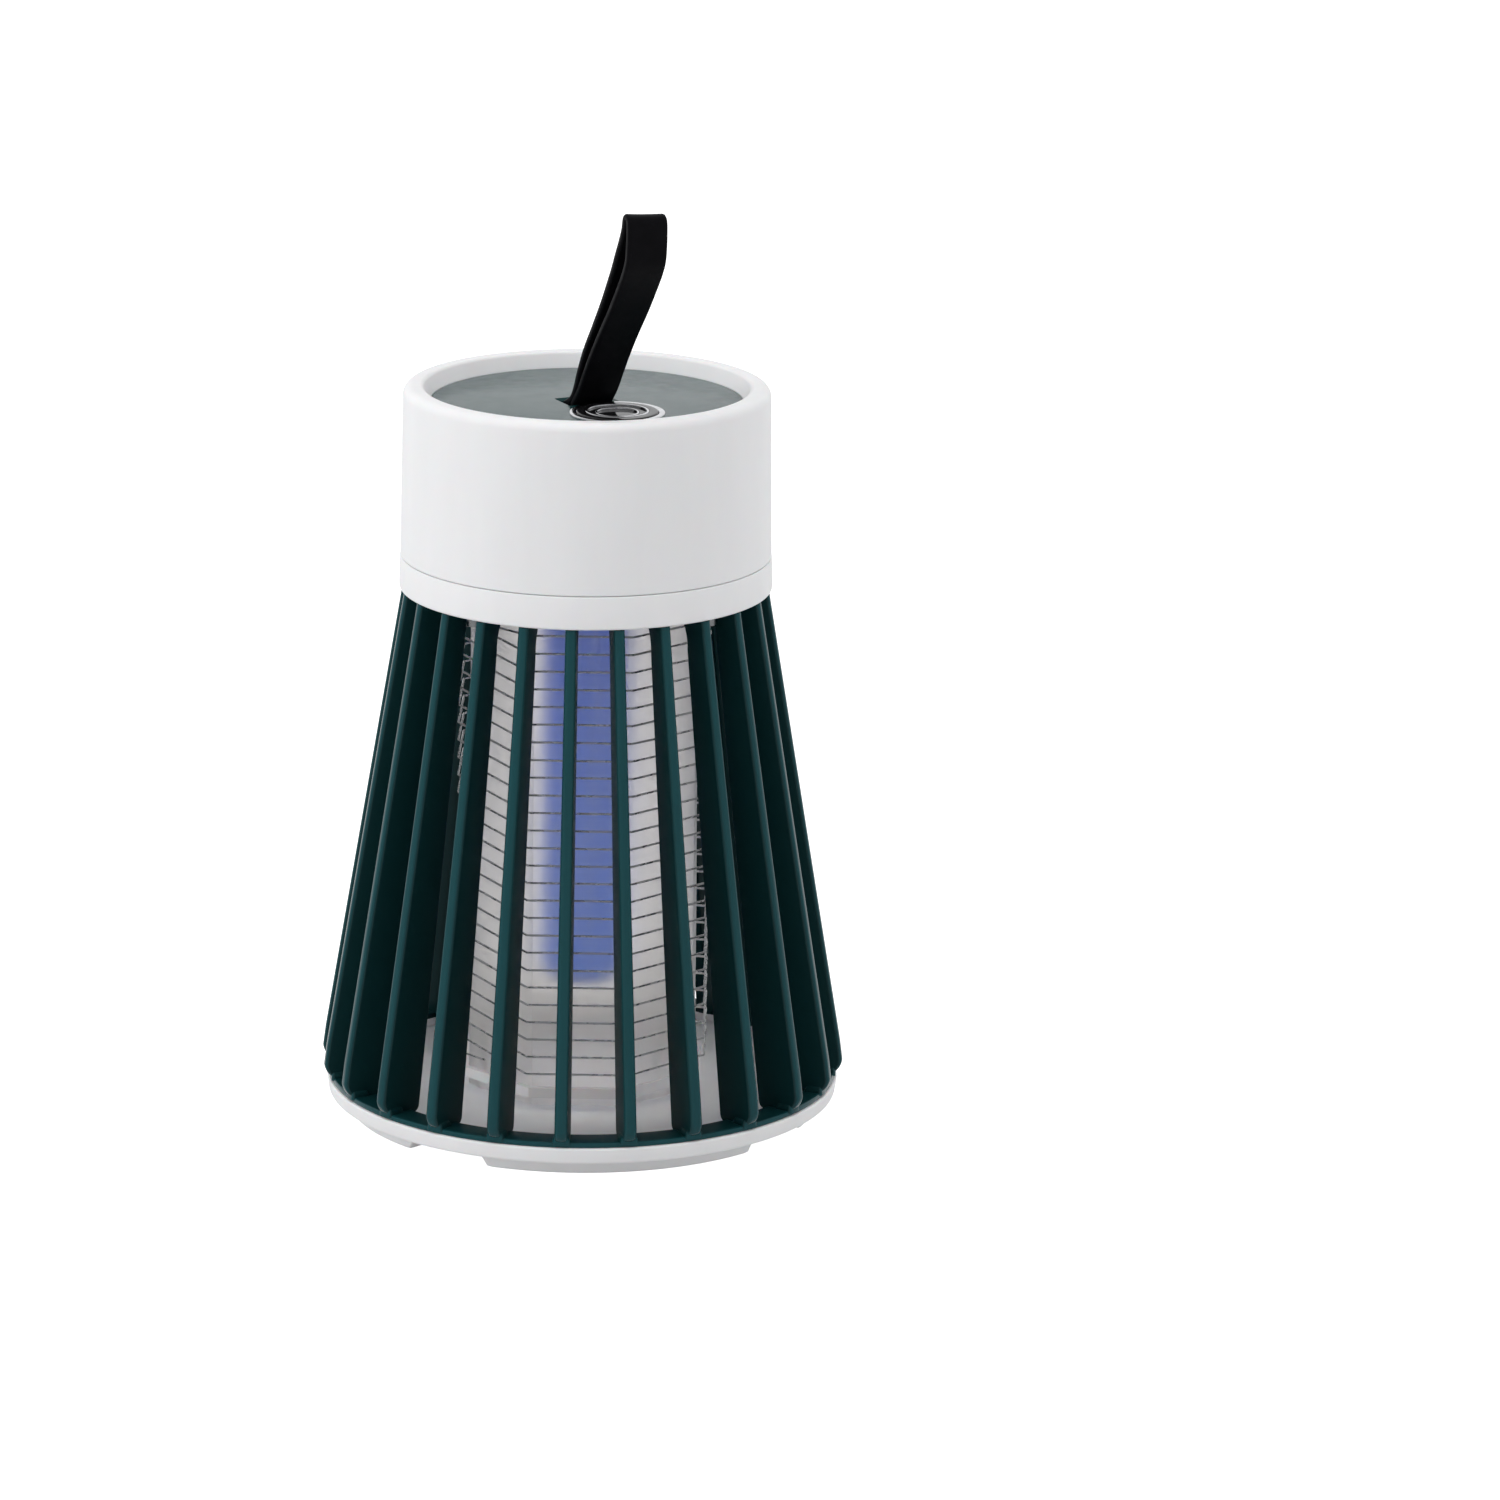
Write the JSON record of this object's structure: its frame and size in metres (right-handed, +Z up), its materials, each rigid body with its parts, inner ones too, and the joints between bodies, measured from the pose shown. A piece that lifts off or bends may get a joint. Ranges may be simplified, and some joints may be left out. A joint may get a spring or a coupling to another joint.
{
  "type": "electric bug zapper",
  "caption": "Cordless insect lamp: round white housing with a strap loop and push button, above a flared cage of fins around a wired grid and light guide, on a twist-off dish.",
  "frame": {"origin": "centre of the plane the lamp stands on, under its foot arcs", "axes": "+Z up along the lamp's axis; -Y is the front, where the power button is; the charging jack faces +Y"},
  "size_m": [0.1124, 0.1124, 0.1989],
  "materials": {
    "white_plastic": "satin moulded",
    "green_plastic": "satin-gloss moulded",
    "panel_green": "satin",
    "black_gloss": "high gloss",
    "bright_trim": "polished",
    "black_silicone": "matt, fine grain",
    "milky_plastic": "translucent, frosted",
    "milky_film": "translucent film, lightly creased",
    "electrode_steel": "drawn wire",
    "guide_blue": "translucent, lit from above",
    "screw_steel": "zinc plated",
    "board_green": "solder mask",
    "dark_component": "moulded epoxy",
    "ferrite": "sintered",
    "copper": "enamelled winding",
    "film_capacitor": "dipped",
    "cell_wrap": "shrink wrap",
    "nickel": "plain strip",
    "lead_insulation": "silicone insulation"
  },
  "bodies": {
    "lamp": {"cage": "green_plastic", "housing_collar": "white_plastic", "top_housing": "white_plastic", "top_panel": "panel_green", "strap_pin": "screw_steel", "button_bezel": "bright_trim", "switch_body": "dark_component", "grid_frame": "milky_plastic", "grid_wire_live": "electrode_steel", "grid_wire_return": "electrode_steel", "diffuser_sleeve": "milky_film", "light_guide": "guide_blue", "light_guide_holder": "milky_plastic", "lamp_board": "board_green", "uv_leds": "milky_plastic", "lamp_leads": "lead_insulation", "main_board": "board_green", "transformer_core": "ferrite", "transformer_coil": "copper", "hv_capacitor": "film_capacitor", "hv_diodes": "dark_component", "boost_inductor": "ferrite", "board_chips": "dark_component", "charging_jack": "dark_component", "charging_jack_pin": "nickel", "battery_cell": "cell_wrap", "battery_tabs": "nickel", "battery_leads": "lead_insulation", "battery_cradle": "dark_component", "hv_leads": "lead_insulation", "housing_screws": "screw_steel", "cage_screws": "screw_steel", "grid_screws": "screw_steel", "board_screws": "screw_steel", "cradle_screws": "screw_steel"},
    "button": {"power_button": "black_gloss", "button_trim_rings": "bright_trim", "switch_plunger": "dark_component"},
    "strap": {"carry_strap": "black_silicone"},
    "tray": {"base_tray": "white_plastic"}
  },
  "joints": [
    {"name": "button_press", "type": "slide", "parent": "lamp", "child": "button", "axis": [0, 0, -1], "range_m": [0, 0.0012], "stiffness_N_per_m": 900, "springref_m": -0.0004},
    {"name": "strap_swing", "type": "hinge", "parent": "lamp", "child": "strap", "pos_m": [0, 0.0003, 0.1527], "axis": [1, 0, 0], "range_deg": [-62, 2]},
    {"name": "tray_twist", "type": "hinge", "parent": "lamp", "child": "tray", "pos_m": [0, 0, 0], "axis": [0, 0, 1], "range_deg": [0, 16]}
  ]
}
